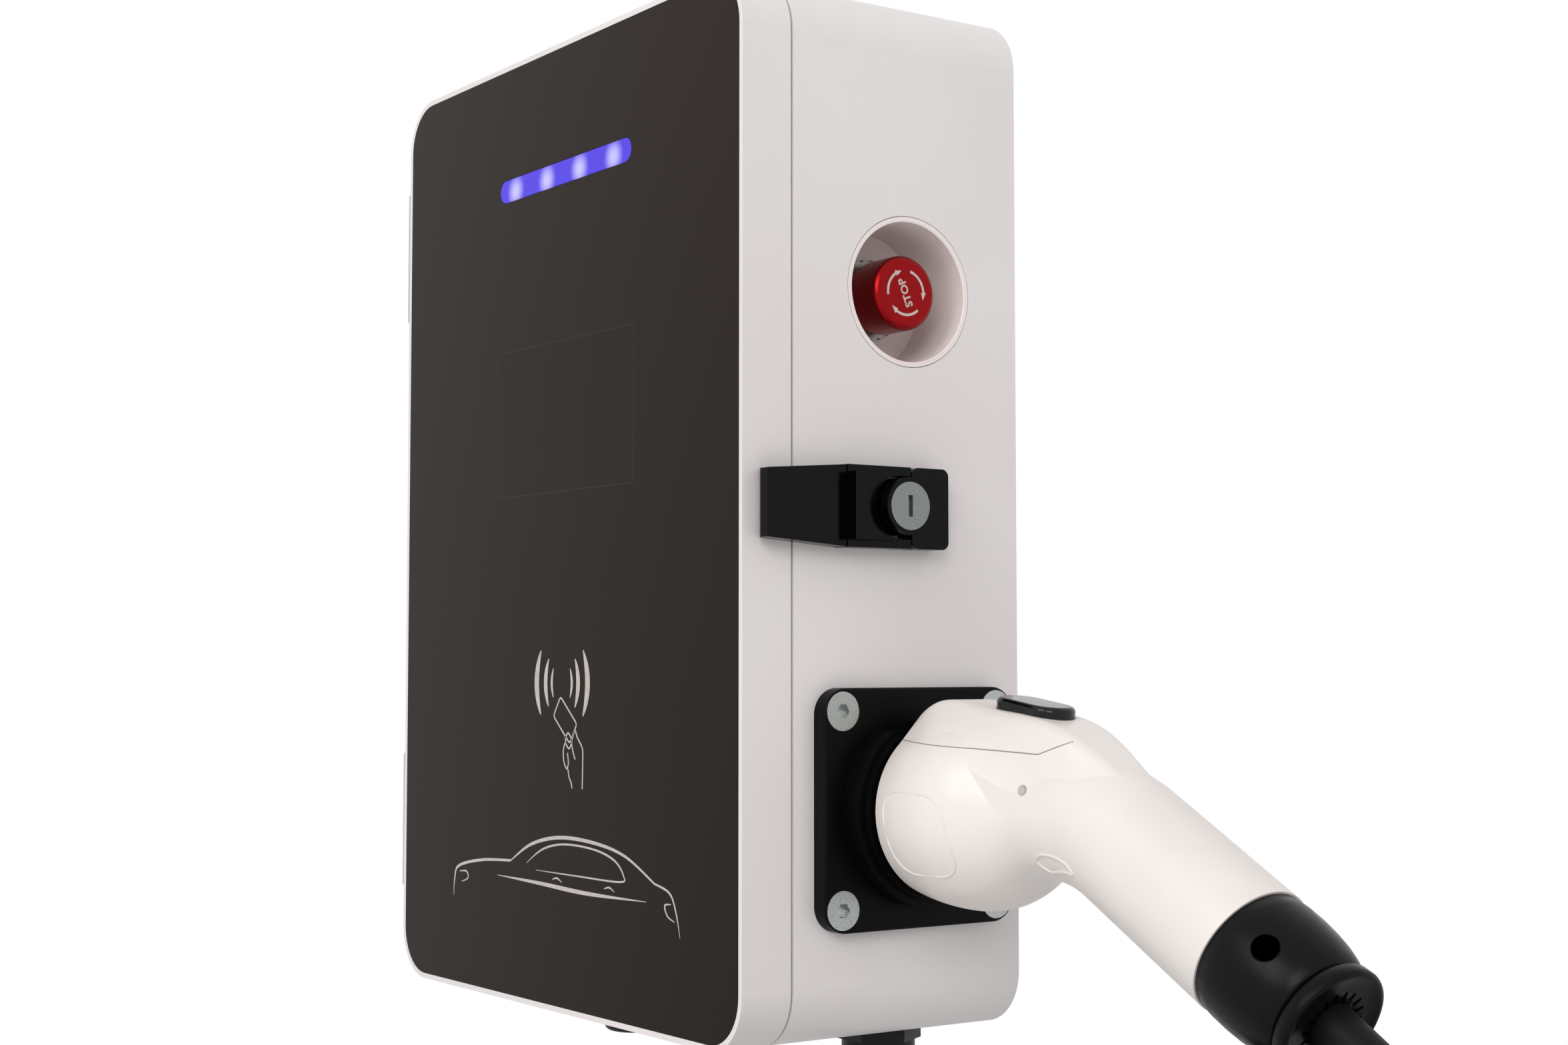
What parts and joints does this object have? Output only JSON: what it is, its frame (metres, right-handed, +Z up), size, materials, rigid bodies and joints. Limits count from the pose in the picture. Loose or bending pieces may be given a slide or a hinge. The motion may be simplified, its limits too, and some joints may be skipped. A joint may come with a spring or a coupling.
{
  "type": "ev wallbox",
  "caption": "Wall-mounted electric car charger: hinged-door cabinet with stop button, hasp lock and holstered charging gun on a coiled cable.",
  "frame": {"origin": "centre of the four wall bolts, on the back face of the cabinet", "axes": "+X right along the wall as seen from the room, +Y into the wall, +Z up"},
  "size_m": [0.5879, 0.13, 0.678],
  "materials": {
    "cabinet_white": "satin",
    "panel_black": "gloss",
    "screen_glass": "gloss",
    "lamp_violet": "gloss",
    "board_green": "satin",
    "seal_rubber": "matte",
    "hinge_steel": "satin",
    "lock_black": "gloss",
    "lock_zinc": "satin",
    "pot_white": "satin",
    "collar_nickel": "gloss",
    "stop_red": "satin",
    "holster_black": "satin",
    "bolt_steel": "satin",
    "gun_white": "satin",
    "gun_black": "satin",
    "contact_brass": "satin",
    "gland_grey": "satin",
    "plate_zinc": "satin",
    "device_grey": "matte",
    "toggle_black": "satin",
    "cable_black": "matte",
    "tie_black": "matte"
  },
  "bodies": {
    "cabinet": {"cabinet_shell": "cabinet_white", "control_board": "board_green", "cabinet_hinge_leaves": "hinge_steel", "hinge_pins": "hinge_steel", "lock_screws": "hinge_steel", "latch_pin": "hinge_steel", "lock_base": "lock_black", "stop_pot": "pot_white", "stop_barrel": "collar_nickel", "holster_flange": "holster_black", "holster_cup": "holster_black", "holster_bolts": "bolt_steel", "gun_body": "gun_white", "latch_cover": "gun_white", "gun_nose": "gun_black", "tail_cap": "gun_black", "cable_nut": "gun_black", "gun_contacts": "contact_brass", "earth_bar": "contact_brass", "outlet_gland": "gland_grey", "outlet_lock_nut": "gland_grey", "supply_gland": "gland_grey", "supply_lock_nut": "gland_grey", "stop_nut": "gland_grey", "plate_posts": "plate_zinc", "mounting_plate": "plate_zinc", "din_rail": "plate_zinc", "power_supply": "plate_zinc", "board_capacitors": "plate_zinc", "breaker": "device_grey", "contactor": "device_grey", "energy_meter": "device_grey", "stop_contacts": "device_grey", "terminal_strip": "device_grey", "board_relays": "toggle_black", "cable_to_gun": "cable_black", "cable_to_box": "cable_black", "cable_coil": "cable_black", "coil_tie": "tie_black"},
    "door": {"door_shell": "cabinet_white", "front_panel": "panel_black", "lamp_guide": "lamp_violet", "lamp_board": "board_green", "screen_module": "screen_glass", "reader_board": "board_green", "door_seal": "seal_rubber", "door_hinge_leaves": "hinge_steel", "hasp_lug": "hinge_steel", "hasp_pin": "hinge_steel"},
    "hasp": {"lock_hasp": "lock_black"},
    "lock": {"lock_core": "lock_zinc"},
    "stop_stem": {"stop_plunger": "stop_red"},
    "stop_knob": {"stop_head": "stop_red"},
    "button": {"gun_button": "gun_black"},
    "latch": {"latch_lever": "gun_black"},
    "toggle": {"breaker_toggle": "toggle_black"}
  },
  "joints": [
    {"name": "door_hinge", "type": "hinge", "parent": "cabinet", "child": "door", "pos_m": [-0.145, -0.108, 0], "axis": [0, 0, -1], "range_deg": [0, 110]},
    {"name": "hasp_hinge", "type": "hinge", "parent": "door", "child": "hasp", "pos_m": [0.1443, -0.1204, 0], "axis": [0, 0, -1], "range_deg": [0, 85]},
    {"name": "lock_turn", "type": "hinge", "parent": "cabinet", "child": "lock", "pos_m": [0.14, -0.0677, 0], "axis": [1, 0, 0], "range_deg": [0, 90]},
    {"name": "stop_press", "type": "slide", "parent": "cabinet", "child": "stop_stem", "axis": [-1, 0, 0], "range_m": [0, 0.004]},
    {"name": "stop_twist", "type": "hinge", "parent": "stop_stem", "child": "stop_knob", "pos_m": [0.13, -0.0532, 0.084], "axis": [1, 0, 0], "range_deg": [0, 45], "stiffness_Nm_per_rad": 0.05},
    {"name": "button_press", "type": "slide", "parent": "cabinet", "child": "button", "axis": [-0.1392, 0, -0.9903], "range_m": [0, 0.0025], "stiffness_N_per_m": 400},
    {"name": "latch_tilt", "type": "hinge", "parent": "cabinet", "child": "latch", "pos_m": [0.184, -0.0532, -0.0835], "axis": [0, 1, 0], "range_deg": [0, 4.6], "stiffness_Nm_per_rad": 0.05},
    {"name": "breaker_switch", "type": "hinge", "parent": "cabinet", "child": "toggle", "pos_m": [-0.09, -0.063, 0.075], "axis": [1, 0, 0], "range_deg": [0, 70]}
  ],
  "couplings": [
    {"joint": "latch_tilt", "follows": "button_press", "rad_per_m": 31.25}
  ]
}
